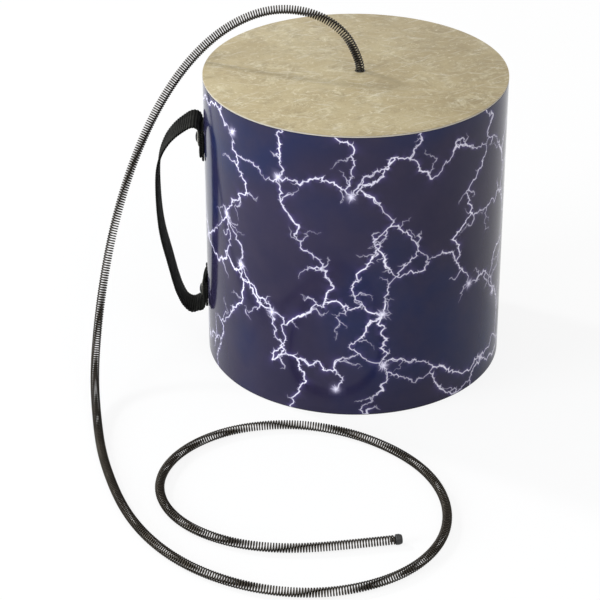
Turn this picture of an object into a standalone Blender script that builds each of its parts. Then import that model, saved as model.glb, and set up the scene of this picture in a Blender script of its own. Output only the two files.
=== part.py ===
# Spring drum: a fibre-shell drum whose head carries a long, loose coil spring, with a
# webbing handle on the left side. Metres, +Z up. The floor is z = 0, the camera side is -Y.

import math

import bpy
import bmesh
import numpy as np

# Drum
drum_diameter = 0.305
drum_height = 0.3086
fit_gap = 0.0003  # clearance between pieces that touch
shell_wall = 0.006
wrap_thickness = 0.0005
bare_edge = 0.0015  # black shell edge that shows below the wrap
film_thickness = 0.0004
hoop_thickness = 0.0014
hoop_width = 0.012
round_steps = 96  # sides of the large rings

# Spring and what holds it in the head
# The real spring has about 740 close curls of 1.5 mm wire. These stand for them, so their
# wire is thicker.
wire_diameter = 0.0026
spring_diameter = 0.0094
curl_count = 88
points_per_curl = 8
hole_offset_x = 0.0045  # the hole isn't quite in the middle of the head
hole_offset_y = 0.0015
hole_clearance = 0.0006  # round the spring, in the head and what lies under it
patch_diameter = 0.050
patch_thickness = 0.0006
anchor_washer_diameter = 0.030
anchor_washer_thickness = 0.0016
plug_flange_diameter = 0.018
plug_flange_thickness = 0.003
plug_stem_length = 0.0028
tip_cap_diameter = 0.0100
tip_cap_length = 0.0062
tip_stem_length = 0.005
tip_cap_round = 0.0012
small_steps = 32  # sides of the small turned pieces
cut_past = 0.002  # how far a cutter runs past what it cuts

# Handle: the strap is sewn flat on itself at both ends and bulges out between them
strap_width = 0.038
strap_thickness = 0.0025
handle_reach = 0.0489  # strap's middle line, outwards from the drum's surface
loop_start = 0.0051  # where the free loop starts, outwards from the surface
upper_screw_height = 0.2355
lower_screw_height = 0.0600
fold_rise = 0.0195  # top of the loop above the upper screw
fold_drop = 0.0188  # bottom of the loop below the lower screw
tab_tail = 0.0200  # sewn end past its screw, away from the loop
tab_layer_step = 0.005  # the outer layer ends this much earlier

# Handle's fasteners
shank_diameter = 0.005
shank_clearance = 0.0003
screw_head_diameter = 0.011
screw_head_height = 0.0018
cup_washer_diameter = 0.020
cup_washer_thickness = 0.0014
cup_washer_rim = 0.0004
inner_washer_diameter = 0.018
inner_washer_thickness = 0.0012
nut_width = 0.008
nut_thickness = 0.004
screw_tail = 0.0015  # thread that shows past the nut

# The free spring's route from the head to its tip, relative to the drum's axis, chosen by
# hand: it arches to the left, comes down past the handle and curls up on the floor.
spring_route_mm = (
    (0.5, 2.0, 325.5),
    (-8.5, 3.0, 343.0),
    (-25.5, 5.5, 358.5),
    (-50.5, 8.5, 368.0),
    (-83.0, 13.0, 367.5),
    (-119.0, 17.5, 352.5),
    (-154.5, 22.5, 322.5),
    (-188.0, 25.5, 278.0),
    (-215.5, 23.5, 226.0),
    (-235.5, 13.5, 176.0),
    (-250.0, -6.0, 127.0),
    (-259.0, -37.0, 81.5),
    (-262.5, -77.5, 45.5),
    (-261.0, -122.5, 21.5),
    (-253.5, -177.0, 7.5),
    (-243.0, -232.0, 5.0),
    (-229.5, -280.5, 5.0),
    (-210.0, -332.0, 5.0),
    (-182.0, -379.0, 5.0),
    (-143.5, -418.0, 5.0),
    (-95.0, -444.5, 5.0),
    (-41.0, -454.5, 5.0),
    (12.5, -444.0, 5.0),
    (57.5, -413.5, 5.0),
    (84.5, -366.0, 5.0),
    (88.0, -310.0, 5.0),
    (70.5, -259.5, 5.0),
    (35.0, -218.0, 5.0),
    (-17.0, -187.5, 5.0),
    (-76.0, -179.5, 5.0),
    (-132.0, -198.5, 5.0),
    (-171.5, -241.5, 5.0),
    (-182.0, -290.5, 5.0),
    (-164.5, -338.5, 5.0),
    (-123.5, -373.0, 5.0),
    (-65.5, -387.5, 5.0),
    (-5.5, -381.5, 5.0),
    (38.0, -373.0, 5.0),
)

# The handle's middle line: share of the reach, share of the height, from top to bottom
loop_shares = (
    (0.000, 0.9953),
    (0.112, 1.0000),
    (0.297, 0.9841),
    (0.486, 0.9546),
    (0.699, 0.9069),
    (0.863, 0.8471),
    (0.961, 0.7783),
    (0.995, 0.7072),
    (1.000, 0.6310),
    (0.989, 0.5458),
    (0.954, 0.4518),
    (0.890, 0.3686),
    (0.804, 0.2905),
    (0.717, 0.2086),
    (0.612, 0.1179),
    (0.500, 0.0529),
    (0.368, 0.0131),
    (0.237, 0.0000),
    (0.132, 0.0051),
    (0.000, 0.0103),
)
loop_outline_points = 56  # along each face of the strap

# Worked out from the sizes above
drum_radius = drum_diameter / 2
shell_radius = drum_radius - wrap_thickness - fit_gap
shell_inside = shell_radius - shell_wall
film_bottom = drum_height - film_thickness
hoop_top = film_bottom - fit_gap
shell_top = hoop_top - hoop_thickness - fit_gap
patch_top = film_bottom - fit_gap
washer_top = patch_top - patch_thickness - fit_gap
plug_top = washer_top - anchor_washer_thickness - fit_gap
spring_radius = spring_diameter / 2
hole_radius = spring_radius + hole_clearance
stem_radius = spring_radius - wire_diameter - fit_gap
tab_outside = fit_gap + 2 * strap_thickness
loop_top = upper_screw_height + fold_rise
loop_bottom = lower_screw_height - fold_drop
shank_radius = shank_diameter / 2
shank_hole = shank_radius + shank_clearance
# The handle makes the object wider on -X, so the axis stands off the origin by half of it
drum_axis_x = (handle_reach + strap_thickness / 2) / 2


def clear_scene():
    for item in list(bpy.data.objects):
        bpy.data.objects.remove(item, do_unlink=True)


def new_collection(name):
    group = bpy.data.collections.new(name)
    bpy.context.scene.collection.children.link(group)
    return group


def make_material(name, colour, roughness, metallic=0.0):
    material = bpy.data.materials.new(name)
    material.use_nodes = True
    shader = material.node_tree.nodes["Principled BSDF"]
    shader.inputs["Base Color"].default_value = (*colour, 1.0)
    shader.inputs["Roughness"].default_value = roughness
    shader.inputs["Metallic"].default_value = metallic
    material.diffuse_color = (*colour, 1.0)
    return material


def add_object(name, data, group, parent, material=None, location=(0, 0, 0), rotation=(0, 0, 0)):
    item = bpy.data.objects.new(name, data)
    group.objects.link(item)
    item.parent = parent
    item.location = location
    item.rotation_euler = rotation
    if material:
        data.materials.append(material)
    return item


def add_empty(name, parent=None, location=(0, 0, 0)):
    item = bpy.data.objects.new(name, None)
    bpy.context.scene.collection.objects.link(item)
    item.parent = parent
    item.location = location
    return item


def settle(item):
    """Applies an object's modifiers and shades it smooth, with its corners kept sharp."""
    bpy.context.view_layer.update()
    graph = bpy.context.evaluated_depsgraph_get()
    mesh = bpy.data.meshes.new_from_object(item.evaluated_get(graph))
    item.modifiers.clear()
    item.data = mesh
    mesh.shade_smooth()
    mesh.set_sharp_from_angle(angle=math.radians(35))


def turned(name, profile, closed, steps, group, parent, material, location=(0, 0, 0),
           rotation=(0, 0, 0)):
    """A profile of (radius, height) points, turned about Z by a Screw modifier.

    The profile runs down the outer side, from top to bottom. A closed profile makes a ring.
    """
    mesh = bpy.data.meshes.new(name)
    points = [(radius, 0.0, height) for radius, height in profile]
    edges = [(i, i + 1) for i in range(len(points) - 1)]
    if closed:
        edges.append((len(points) - 1, 0))
    mesh.from_pydata(points, edges, [])
    item = add_object(name, mesh, group, parent, material, location, rotation)
    screw = item.modifiers.new("Turn", "SCREW")
    screw.axis = "Z"
    screw.steps = steps
    screw.render_steps = steps
    screw.use_merge_vertices = True
    screw.merge_threshold = 0.00001
    settle(item)
    return item


def ring_profile(outer, inner, top, bottom):
    return ((outer, top), (outer, bottom), (inner, bottom), (inner, top))


def drill(item, cutter):
    cut = item.modifiers.new("Hole", "BOOLEAN")
    cut.operation = "DIFFERENCE"
    cut.solver = "EXACT"
    cut.object = cutter


def round_cutter(name, radius, length, group, parent, location, rotation=(0, 0, 0)):
    mesh = bpy.data.meshes.new(name)
    shape = bmesh.new()
    bmesh.ops.create_cone(shape, cap_ends=True, segments=small_steps, radius1=radius,
                          radius2=radius, depth=length)
    shape.to_mesh(mesh)
    shape.free()
    item = add_object(name, mesh, group, parent, None, location, rotation)
    item.hide_render = True
    item.display_type = "WIRE"
    return item


def cross_cutter(name, radius, start, end, height, group, parent):
    """A round cutter along X through the drum's left side, between two outward distances."""
    middle = -drum_radius - (start + end) / 2
    return round_cutter(name, radius, end - start, group, parent, (middle, 0, height),
                        (0, -math.pi / 2, 0))


def smooth_curve(points, count):
    """Evenly stepped places on one natural cubic curve through the points."""
    knots = np.array(points, dtype=float)
    last = len(knots) - 1
    gap = np.linalg.norm(np.diff(knots, axis=0), axis=1)
    reach = np.concatenate(([0.0], np.cumsum(gap)))
    system = np.eye(last + 1)
    target = np.zeros_like(knots)
    for i in range(1, last):
        system[i, i - 1:i + 2] = (gap[i - 1], 2 * (gap[i - 1] + gap[i]), gap[i])
        rise = (knots[i + 1] - knots[i]) / gap[i]
        fall = (knots[i] - knots[i - 1]) / gap[i - 1]
        target[i] = 6 * (rise - fall)
    bend = np.linalg.solve(system, target)

    def at(distance):
        i = np.clip(np.searchsorted(reach, distance, side="right") - 1, 0, last - 1)
        after = (reach[i + 1] - distance)[:, None]
        before = (distance - reach[i])[:, None]
        span = gap[i][:, None]
        cubic = (bend[i] * after ** 3 + bend[i + 1] * before ** 3) / (6 * span)
        left = (knots[i] / span - bend[i] * span / 6) * after
        right = (knots[i + 1] / span - bend[i + 1] * span / 6) * before
        return cubic + left + right

    fine = at(np.linspace(0.0, reach[-1], 20 * count))
    along = np.concatenate(([0.0], np.cumsum(np.linalg.norm(np.diff(fine, axis=0), axis=1))))
    even = np.linspace(0.0, along[-1], count)
    return np.column_stack([np.interp(even, along, fine[:, k]) for k in range(fine.shape[1])])


def directions(path):
    heading = np.gradient(path, axis=0)
    return heading / np.linalg.norm(heading, axis=1)[:, None]


def carried_frame(path):
    """Heading and two side directions along a path, carried on without twist."""
    heading = directions(path)
    side = np.zeros_like(path)
    side[0] = np.cross(heading[0], (0.0, 1.0, 0.0))
    side[0] /= np.linalg.norm(side[0])
    for i in range(1, len(path)):
        carried = side[i - 1] - heading[i] * np.dot(side[i - 1], heading[i])
        side[i] = carried / np.linalg.norm(carried)
    return heading, side, np.cross(heading, side)


def helix_points(path, radius, curls):
    """The wire's centre line, wound round the path, with a short straight run at each end."""
    heading, side, lift = carried_frame(path)
    turn = np.linspace(0.0, 2 * math.pi * curls, len(path))[:, None]
    wire = path + radius * (side * np.cos(turn) + lift * np.sin(turn))
    first = wire[0] - heading[0] * wire_diameter
    final = wire[-1] + heading[-1] * wire_diameter
    return np.vstack((first, wire, final))


def least_self_gap(points, thickness, skip):
    """Least clearance between parts of one wire that are at least skip points apart."""
    least = math.inf
    for i in range(len(points) - skip):
        distance = np.linalg.norm(points[i + skip:] - points[i], axis=1).min()
        least = min(least, distance)
    return least - thickness


def wire_object(name, points, thickness, group, parent, material, location=(0, 0, 0)):
    data = bpy.data.curves.new(name, "CURVE")
    data.dimensions = "3D"
    data.bevel_depth = thickness / 2
    data.bevel_resolution = 1
    data.use_fill_caps = True
    spline = data.splines.new("POLY")
    spline.points.add(len(points) - 1)
    for place, point in zip(spline.points, points):
        place.co = (*point, 1.0)
    return add_object(name, data, group, parent, material, location)


def flat_outline(name, outline, width, group, parent, material, location=(0, 0, 0)):
    """A flat outline of (x, z) points, made as thick as the width along Y."""
    data = bpy.data.curves.new(name, "CURVE")
    data.dimensions = "2D"
    data.fill_mode = "BOTH"
    data.extrude = width / 2
    spline = data.splines.new("POLY")
    spline.use_cyclic_u = True
    spline.points.add(len(outline) - 1)
    for place, (x, z) in zip(spline.points, outline):
        place.co = (x, z, 0.0, 1.0)
    return add_object(name, data, group, parent, material, location, (math.pi / 2, 0, 0))


def as_mesh(item):
    """Turns a curve object into a welded mesh object of the same name and place."""
    bpy.context.view_layer.update()
    graph = bpy.context.evaluated_depsgraph_get()
    mesh = bpy.data.meshes.new_from_object(item.evaluated_get(graph))
    shape = bmesh.new()
    shape.from_mesh(mesh)
    bmesh.ops.remove_doubles(shape, verts=shape.verts, dist=0.000001)
    bmesh.ops.recalc_face_normals(shape, faces=shape.faces)
    shape.to_mesh(mesh)
    shape.free()
    name = item.name
    group = item.users_collection[0]
    parent = item.parent
    location = tuple(item.location)
    rotation = tuple(item.rotation_euler)
    bpy.data.objects.remove(item, do_unlink=True)
    return add_object(name, mesh, group, parent, None, location, rotation)


def make_shell(group, cutters, axis, materials):
    shell = turned("shell", ring_profile(shell_radius, shell_inside, shell_top, 0.0), True,
                   round_steps, group, axis, materials["fibre"])
    wrap = turned("shell_wrap",
                  ring_profile(drum_radius, drum_radius - wrap_thickness, shell_top, bare_edge),
                  True, round_steps, group, axis, materials["wrap"])
    for level, height in (("upper", upper_screw_height), ("lower", lower_screw_height)):
        depth = drum_radius - shell_inside + cut_past
        cutter = cross_cutter(level + "_wall_hole", shank_hole, -depth, cut_past, height, cutters,
                              axis)
        drill(shell, cutter)
        drill(wrap, cutter)


def make_head(group, cutters, axis, materials):
    turned("head_hoop",
           ring_profile(drum_radius, drum_radius - hoop_width, hoop_top, hoop_top - hoop_thickness),
           True, round_steps, group, axis, materials["hoop"])
    disc = ((0.0, drum_height), (drum_radius, drum_height), (drum_radius, film_bottom),
            (0.0, film_bottom))
    film = turned("head_film", disc, False, round_steps, group, axis, materials["film"])
    middle = (hole_offset_x, hole_offset_y, (drum_height + film_bottom) / 2)
    drill(film, round_cutter("film_hole", hole_radius, film_thickness + 2 * cut_past, cutters, axis,
                             middle))
    under_hole = (hole_offset_x, hole_offset_y, 0)
    turned("head_patch",
           ring_profile(patch_diameter / 2, hole_radius, patch_top, patch_top - patch_thickness),
           True, small_steps, group, axis, materials["patch"], under_hole)
    turned("anchor_washer",
           ring_profile(anchor_washer_diameter / 2, hole_radius, washer_top,
                        washer_top - anchor_washer_thickness),
           True, small_steps, group, axis, materials["steel"], under_hole)


def make_spring(group, swivel, materials):
    """The plug that the spring is wound on, the spring itself and the cap on its tip."""
    flange = plug_flange_diameter / 2
    profile = (
        (0.0, plug_stem_length),
        (stem_radius, plug_stem_length),
        (stem_radius, 0.0),
        (flange, 0.0),
        (flange, -plug_flange_thickness),
        (0.0, -plug_flange_thickness),
    )
    turned("anchor_plug", profile, False, small_steps, group, swivel, materials["steel"])

    # The route is kept relative to the swivel, whose empty stands on the plug's flange
    start = fit_gap + wire_diameter
    lead_in = ((0.0, 0.0, start), (0.0, 0.0, start + 0.5 * (drum_height - plug_top)))
    route = [(x / 1000 - hole_offset_x, y / 1000 - hole_offset_y, z / 1000 - plug_top)
             for x, y, z in spring_route_mm]
    path = smooth_curve(lead_in + tuple(route), curl_count * points_per_curl + 1)
    coil_radius = spring_radius - wire_diameter / 2
    wire = helix_points(path, coil_radius, curl_count)
    wire_object("spring", wire, wire_diameter, group, swivel, materials["spring"])
    length = np.linalg.norm(np.diff(path, axis=0), axis=1).sum()
    gap = least_self_gap(wire, wire_diameter, points_per_curl // 2)
    print("spring length %.3f m, least gap to itself %.2f mm" % (length, gap * 1000))
    print("spring's lowest point %.2f mm" % ((wire[:, 2].min() + plug_top - wire_diameter / 2) * 1000))

    # The cap's own axis is its local Z, turned to the spring's last heading
    heading = directions(path)[-1]
    seat = path[-1] + heading * (wire_diameter + fit_gap)
    cap_radius = tip_cap_diameter / 2
    bend = [math.radians(angle) for angle in (90, 60, 30, 0)]
    rounded = [(cap_radius - tip_cap_round * (1 - math.cos(a)),
                tip_cap_length - tip_cap_round * (1 - math.sin(a))) for a in bend]
    profile = [(0.0, tip_cap_length)] + rounded
    profile += [(cap_radius, 0.0), (stem_radius, 0.0), (stem_radius, -tip_stem_length),
                (0.0, -tip_stem_length)]
    cap = turned("spring_tip_cap", profile, False, small_steps, group, swivel, materials["rubber"],
                 tuple(seat))
    level = math.atan2(heading[1], heading[0])
    cap.rotation_euler = (0.0, math.pi / 2, level)


def loop_outline():
    """The strap's free loop as a closed outline of (outwards, height) points."""
    span = handle_reach - loop_start
    middle = [(loop_start + share * span, loop_bottom + rise * (loop_top - loop_bottom))
              for share, rise in loop_shares]
    line = smooth_curve(middle, loop_outline_points)
    heading = directions(line)
    across = np.column_stack((-heading[:, 1], heading[:, 0])) * strap_thickness / 2
    return np.vstack((line + across, (line - across)[::-1])), middle


def tab_outline(edge, tail_end, toward_loop):
    """A sewn strap end on the drum: two layers, the outer one shorter at the tail."""
    step = tail_end + toward_loop * tab_layer_step
    corner = min(strap_thickness, abs(edge - tail_end) / 4)
    return (
        (fit_gap, tail_end),
        (fit_gap + strap_thickness, tail_end),
        (fit_gap + strap_thickness, step),
        (tab_outside, step),
        (tab_outside, edge),
        (fit_gap + corner, edge),
        (fit_gap, edge - toward_loop * corner),
    )


def make_handle(group, cutters, axis, hinge, materials):
    outline, middle = loop_outline()
    hinge_out = -hinge.location.x - drum_radius
    flat = [(hinge_out - out, height) for out, height in outline]
    flat_outline("handle_strap", flat, strap_width, group, hinge, materials["webbing"])

    half = strap_thickness / 2 + fit_gap
    ends = (
        ("upper", upper_screw_height, middle[0][1] - half, 1),
        ("lower", lower_screw_height, middle[-1][1] + half, -1),
    )
    for level, height, edge, toward_loop in ends:
        tail_end = height - toward_loop * tab_tail
        profile = [(-out, z) for out, z in tab_outline(edge, tail_end, toward_loop)]
        tab = flat_outline("strap_" + level + "_tab", profile, strap_width, group, axis,
                           materials["webbing"], (-drum_radius, 0, 0))
        tab = as_mesh(tab)
        cutter = cross_cutter(level + "_tab_hole", shank_hole, -cut_past, tab_outside + cut_past,
                              height, cutters, axis)
        drill(tab, cutter)


def make_fasteners(group, cutters, axis, materials):
    """Screw, cup washer, inner washer and nut at both ends of the strap. Each is turned about
    its local Z, which points outwards, with the drum's surface at zero."""
    cup_bottom = tab_outside + fit_gap
    cup_top = cup_bottom + cup_washer_thickness
    head_bottom = cup_top + fit_gap
    washer_radius = inner_washer_diameter / 2
    # A flat washer in the round shell sits on its own left and right edges
    inside = shell_inside * math.cos(math.pi / round_steps)
    seat = math.sqrt(inside ** 2 - washer_radius ** 2) - drum_radius - fit_gap
    nut_top = seat - inner_washer_thickness - fit_gap
    nut_bottom = nut_top - nut_thickness
    outward = (0.0, -math.pi / 2, 0.0)

    head = screw_head_diameter / 2
    dome = [(head * math.sin(math.radians(a)),
             head_bottom + screw_head_height * math.cos(math.radians(a))) for a in (0, 30, 60, 85)]
    screw = dome + [(head, head_bottom), (shank_radius, head_bottom),
                    (shank_radius, nut_bottom - screw_tail), (0.0, nut_bottom - screw_tail)]
    cup = (
        (screw_head_diameter / 2 + cup_washer_rim, cup_top),
        (cup_washer_diameter / 2, cup_bottom + cup_washer_rim),
        (cup_washer_diameter / 2, cup_bottom),
        (shank_hole, cup_bottom),
        (shank_hole, cup_top),
    )
    for level, height in (("upper", upper_screw_height), ("lower", lower_screw_height)):
        place = (-drum_radius, 0, height)
        turned(level + "_screw", screw, False, small_steps, group, axis, materials["steel"],
               place, outward)
        turned(level + "_cup_washer", cup, True, small_steps, group, axis, materials["nickel"],
               place, outward)
        turned(level + "_inner_washer",
               ring_profile(washer_radius, shank_hole, seat, seat - inner_washer_thickness),
               True, small_steps, group, axis, materials["steel"], place, outward)

        mesh = bpy.data.meshes.new(level + "_nut")
        shape = bmesh.new()
        corner = nut_width / 2 / math.cos(math.pi / 6)
        bmesh.ops.create_cone(shape, cap_ends=True, segments=6, radius1=corner, radius2=corner,
                              depth=nut_thickness)
        shape.to_mesh(mesh)
        shape.free()
        middle = (nut_top + nut_bottom) / 2
        nut = add_object(level + "_nut", mesh, group, axis, materials["steel"],
                         (-drum_radius - middle, 0, height), outward)
        cutter = cross_cutter(level + "_nut_hole", shank_hole, nut_bottom - cut_past,
                              nut_top + cut_past, height, cutters, axis)
        drill(nut, cutter)


def main():
    clear_scene()
    group = new_collection("spring_drum")
    cutters = new_collection("spring_drum_cutters")
    materials = {
        "fibre": make_material("fibre_shell", (0.020, 0.020, 0.022), 0.75),
        "wrap": make_material("printed_wrap", (0.052, 0.048, 0.098), 0.18),
        "hoop": make_material("pale_hoop", (0.62, 0.56, 0.44), 0.6),
        "film": make_material("head_film", (0.42, 0.36, 0.22), 0.45),
        "patch": make_material("patch", (0.30, 0.27, 0.20), 0.7),
        "steel": make_material("dark_steel", (0.12, 0.12, 0.12), 0.35, 1.0),
        "nickel": make_material("nickel", (0.55, 0.54, 0.52), 0.3, 1.0),
        "spring": make_material("spring_wire", (0.05, 0.048, 0.045), 0.4, 0.8),
        "rubber": make_material("tip_rubber", (0.022, 0.021, 0.022), 0.7),
        "webbing": make_material("webbing", (0.012, 0.012, 0.011), 0.85),
    }
    axis = add_empty("drum_axis", location=(drum_axis_x, 0, 0))
    swivel = add_empty("spring_swivel", axis, (hole_offset_x, hole_offset_y, plug_top))
    hinge_out = fit_gap + strap_thickness
    hinge = add_empty("handle_hinge", axis, (-drum_radius - hinge_out, 0, 0))

    make_shell(group, cutters, axis, materials)
    make_head(group, cutters, axis, materials)
    make_spring(group, swivel, materials)
    make_handle(group, cutters, axis, hinge, materials)
    make_fasteners(group, cutters, axis, materials)


main()
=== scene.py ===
import math
from heapq import heappop, heappush

import bpy
import numpy as np
from mathutils import Matrix, Vector
from mathutils.geometry import delaunay_2d_cdt
from mathutils.kdtree import KDTree


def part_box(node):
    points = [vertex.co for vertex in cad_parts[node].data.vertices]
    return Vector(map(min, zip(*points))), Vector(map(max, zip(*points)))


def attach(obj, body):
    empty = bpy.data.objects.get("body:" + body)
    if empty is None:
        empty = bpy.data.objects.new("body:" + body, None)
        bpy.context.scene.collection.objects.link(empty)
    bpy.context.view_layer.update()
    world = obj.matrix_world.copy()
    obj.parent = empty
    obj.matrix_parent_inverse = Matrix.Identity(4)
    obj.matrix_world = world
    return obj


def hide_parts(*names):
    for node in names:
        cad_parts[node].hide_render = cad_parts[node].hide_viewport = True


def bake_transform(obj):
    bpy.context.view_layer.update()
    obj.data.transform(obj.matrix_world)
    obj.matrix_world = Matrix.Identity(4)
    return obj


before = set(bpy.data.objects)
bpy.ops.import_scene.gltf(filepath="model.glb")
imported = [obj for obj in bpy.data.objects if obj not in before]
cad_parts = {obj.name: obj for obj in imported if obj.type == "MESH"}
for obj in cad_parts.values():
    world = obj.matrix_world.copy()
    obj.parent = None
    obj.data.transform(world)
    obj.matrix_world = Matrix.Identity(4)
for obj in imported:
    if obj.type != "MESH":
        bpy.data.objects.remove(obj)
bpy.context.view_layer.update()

# Spring drum: camera, the spring's real curls, the printed shell, the head and the handle.
# Everything is in metres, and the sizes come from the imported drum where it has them.
millimetre = 0.001
wrapLow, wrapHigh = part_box("shell_wrap")
washerLow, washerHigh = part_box("anchor_washer")
drumRadius = (wrapHigh.x - wrapLow.x) / 2
drumAxis = Vector(((wrapLow.x + wrapHigh.x) / 2, 0.0, 0.0))
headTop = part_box("head_film")[1].z
surfaceX = drumAxis.x - drumRadius  # the drum's left side, where the handle sits
holePlace = Vector(((washerLow.x + washerHigh.x) / 2, (washerLow.y + washerHigh.y) / 2, 0.0))


# Modelling helpers

def pickNothing():
    if bpy.context.object and bpy.context.object.mode != "OBJECT":
        bpy.ops.object.mode_set(mode="OBJECT")
    bpy.ops.object.select_all(action="DESELECT")


def pick(*pieces):
    pickNothing()
    for piece in pieces:
        piece.select_set(True)
    bpy.context.view_layer.objects.active = pieces[0]


def editWhole(piece):
    pick(piece)
    bpy.ops.object.mode_set(mode="EDIT")
    bpy.ops.mesh.select_all(action="SELECT")


def applyModifiers(piece):
    pick(piece)
    for modifier in list(piece.modifiers):
        bpy.ops.object.modifier_apply(modifier=modifier.name)


def placed(piece, location=(0, 0, 0), rotation=(0, 0, 0)):
    # the place goes into the mesh, and the object ends at the origin
    pick(piece)
    piece.location = location
    piece.rotation_euler = rotation
    bpy.ops.object.transform_apply(location=True, rotation=True, scale=True)
    return piece


def smoothShaded(piece, angle=40):
    pick(piece)
    bpy.ops.object.shade_smooth_by_angle(angle=math.radians(angle))
    return piece


def finished(piece, name, body, slotName, material, *replaced):
    piece.name = name
    piece.data.name = name
    piece.data.materials.clear()
    piece.data.materials.append(material)
    if body:
        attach(piece, body)
    if replaced:
        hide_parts(*replaced)
    return piece


def newObject(name, data):
    item = bpy.data.objects.new(name, data)
    bpy.context.scene.collection.objects.link(item)
    return item


def copied(piece):
    return newObject(piece.name, piece.data.copy())


def addCylinder(sides, radius, depth, place):
    pickNothing()
    bpy.ops.mesh.primitive_cylinder_add(vertices=sides, radius=radius, depth=depth, location=place)
    return bpy.context.object


def cutAway(piece, cutter):
    cut = piece.modifiers.new("Cut", "BOOLEAN")
    cut.operation = "DIFFERENCE"
    cut.solver = "EXACT"
    cut.object = cutter
    applyModifiers(piece)
    bpy.data.objects.remove(cutter)


def turnedPiece(profile, sides, closed=True):
    # a circle, extruded ring by ring along (radius, height) points; an open profile's ends
    # are filled
    pickNothing()
    radius, height = profile[0]
    bpy.ops.mesh.primitive_circle_add(vertices=sides, radius=radius, location=(0, 0, height),
                                      fill_type="NOTHING" if closed else "NGON")
    piece = bpy.context.object
    bpy.ops.object.transform_apply(location=True, rotation=True, scale=True)
    editWhole(piece)
    if not closed:
        bpy.ops.mesh.region_to_loop()
    rings = list(profile[1:]) + ([profile[0]] if closed else [])
    for nextRadius, nextHeight in rings:
        rise = (0, 0, nextHeight - height)
        bpy.ops.mesh.extrude_edges_move(TRANSFORM_OT_translate={"value": rise})
        share = nextRadius / radius
        bpy.ops.transform.resize(value=(share, share, 1), center_override=(0, 0, 0))
        radius, height = nextRadius, nextHeight
    if not closed:
        bpy.ops.mesh.edge_face_add()
    bpy.ops.mesh.select_all(action="SELECT")
    bpy.ops.mesh.remove_doubles(threshold=0.000001)
    bpy.ops.mesh.normals_make_consistent(inside=False)
    bpy.ops.object.mode_set(mode="OBJECT")
    return piece


def addTurned(profile, sides, place, *look, closed=True):
    # look holds the name, body, slot, material and the solid that the piece replaces; the slot is
    # not used
    piece = placed(turnedPiece(profile, sides, closed), place)
    return finished(smoothShaded(piece), *look)


def ringedFaces(rings, sides):
    # four-sided faces between rings of points, and one face on each end
    faces = [(i + k, i + (k + 1) % sides, i + sides + (k + 1) % sides, i + sides + k)
             for i in range(0, (rings - 1) * sides, sides) for k in range(sides)]
    return faces + [tuple(range(sides - 1, -1, -1)),
                    tuple(range((rings - 1) * sides, rings * sides))]


def meshPiece(name, points, faces):
    mesh = bpy.data.meshes.new(name)
    mesh.from_pydata([tuple(point) for point in points], [], faces)
    mesh.validate()
    mesh.update()
    return newObject(name, mesh)


def pointValues(piece, **layers):
    for name, values in layers.items():
        layer = piece.data.attributes.new(name, "FLOAT", "POINT")
        layer.data.foreach_set("value", np.asarray(values, dtype=np.float32))


# Camera

cameraSettings = {
    "fromAxis": (0.0, -2.0277, 1.1824),
    "turnTiltRoll": (-1.571, 29.257, -0.185),  # degrees
    "focalPixels": 2204.9,
    "imagePixels": 600,
    "shiftPixels": (-0.5, 0.55),
    "sensor": 36.0,
    "clip": (0.05, 50.0),
}


def makeCamera(settings):
    data = bpy.data.cameras.new("studioCamera")
    data.sensor_width = settings["sensor"]
    data.lens = settings["focalPixels"] / settings["imagePixels"] * settings["sensor"]
    shift = [part / settings["imagePixels"] for part in settings["shiftPixels"]]
    data.shift_x, data.shift_y = shift
    data.clip_start, data.clip_end = settings["clip"]
    camera = newObject("studioCamera", data)
    turn, tilt, roll = (math.radians(angle) for angle in settings["turnTiltRoll"])
    camera.matrix_world = Matrix.Translation(drumAxis + Vector(settings["fromAxis"]))
    for angle, axis in ((-turn, "Z"), (math.pi / 2 - tilt, "X"), (roll, "Z")):
        camera.matrix_world = camera.matrix_world @ Matrix.Rotation(angle, 4, axis)
    bpy.context.scene.camera = camera


print("Camera")
makeCamera(cameraSettings)


# Node helpers

def addNode(tree, kind, sockets=None, **settings):
    node = tree.nodes.new("ShaderNode" + kind)
    for name, value in settings.items():
        setattr(node, name, value)
    for name, value in (sockets or {}).items():
        if isinstance(value, bpy.types.NodeSocket):
            tree.links.new(value, node.inputs[name])
        else:
            node.inputs[name].default_value = value
    return node


def calculated(tree, operation, *values, clamped=False):
    return addNode(tree, "Math", dict(enumerate(values)), operation=operation,
                   use_clamp=clamped).outputs[0]


def remapped(tree, value, low, high, newLow=0.0, newHigh=1.0, smooth=False):
    kind = "SMOOTHSTEP" if smooth else "LINEAR"
    return addNode(tree, "MapRange", {0: value, 1: low, 2: high, 3: newLow, 4: newHigh},
                   interpolation_type=kind, clamp=True).outputs[0]


def mixedColour(tree, share, *shades):
    first, second = (shade if isinstance(shade, bpy.types.NodeSocket) else (*shade, 1.0)
                     for shade in shades)
    return addNode(tree, "Mix", {0: share, 6: first, 7: second}, data_type="RGBA",
                   clamp_factor=True).outputs[2]


def layered(tree, ground, *layers):
    # colours laid over the ground; each layer is a mask, its strength and its colour
    for mask, strength, colour in layers:
        ground = mixedColour(tree, calculated(tree, "MULTIPLY", mask, strength), ground, colour)
    return ground


def noisy(tree, place, scale, detail=3.0, roughness=0.55, distortion=0.0):
    return addNode(tree, "TexNoise",
                   {"Vector": place, "Scale": scale, "Detail": detail, "Roughness": roughness,
                    "Distortion": distortion}).outputs["Fac"]


def ramped(tree, value, stops):
    ramp = addNode(tree, "ValToRGB", {"Fac": value})
    while len(ramp.color_ramp.elements) < len(stops):
        ramp.color_ramp.elements.new(0.5)
    for element, (place, colour) in zip(ramp.color_ramp.elements, stops):
        element.position = place
        element.color = (*colour, 1.0)
    return ramp.outputs["Color"]


def objectPlace(tree):
    return addNode(tree, "TexCoord").outputs["Object"]


def attributeValue(tree, name):
    return addNode(tree, "Attribute", attribute_name=name).outputs["Fac"]


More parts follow.
